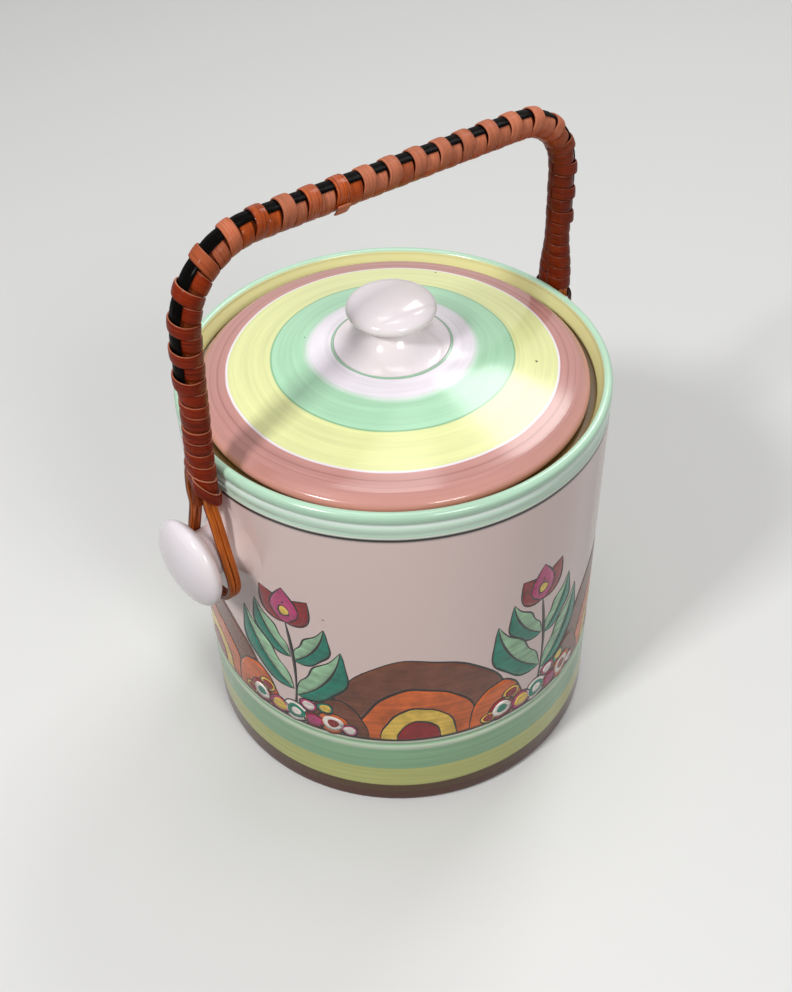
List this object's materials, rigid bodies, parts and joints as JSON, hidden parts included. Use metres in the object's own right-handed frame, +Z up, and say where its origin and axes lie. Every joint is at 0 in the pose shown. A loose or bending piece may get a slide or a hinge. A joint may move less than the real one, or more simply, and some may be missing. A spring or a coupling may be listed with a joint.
{
  "type": "biscuit jar",
  "caption": "Straight round pottery biscuit jar with a recessed lift-off lid, side lugs and a swinging cane-bound bail handle.",
  "frame": {"origin": "centre of the foot ring, on the surface that the jar stands on", "axes": "+Z up; the two lugs and the bail's swing axis lie along X; -Y and +Y are the two broad sides"},
  "size_m": [0.1676, 0.132, 0.2038],
  "materials": {
    "jar_glaze": "opaque glazed earthenware, gloss, hand-painted bands",
    "lid_glaze": "opaque glazed earthenware, gloss, hand-painted rings",
    "white_glaze": "opaque glazed earthenware, gloss, plain",
    "core_cane": "peeled cane, varnished",
    "split_cane": "split cane, stained and varnished",
    "binding_cane": "flat binding cane, stained red-brown and varnished",
    "black_strip": "flat cane strip, painted black"
  },
  "bodies": {
    "jar": {"jar_body": "jar_glaze", "left_lug": "white_glaze", "right_lug": "white_glaze"},
    "lid": {"lid_plate": "lid_glaze", "lid_knob": "white_glaze"},
    "bail": {"bail_core": "core_cane", "left_loop_wall_cane": "split_cane", "left_loop_cap_cane": "split_cane", "right_loop_wall_cane": "split_cane", "right_loop_cap_cane": "split_cane", "left_leg_binding": "binding_cane", "right_leg_binding": "binding_cane", "woven_under_turns": "binding_cane", "woven_over_turns": "binding_cane", "black_strip": "black_strip", "left_end_turn": "binding_cane", "right_end_turn": "binding_cane"}
  },
  "joints": [
    {"name": "lid_lift", "type": "slide", "parent": "jar", "child": "lid", "axis": [0, 0, 1], "range_m": [0, 0.032]},
    {"name": "handle_swing", "type": "hinge", "parent": "jar", "child": "bail", "pos_m": [0, 0, 0.1018], "axis": [1, 0, 0], "range_deg": [-131, 131]}
  ]
}
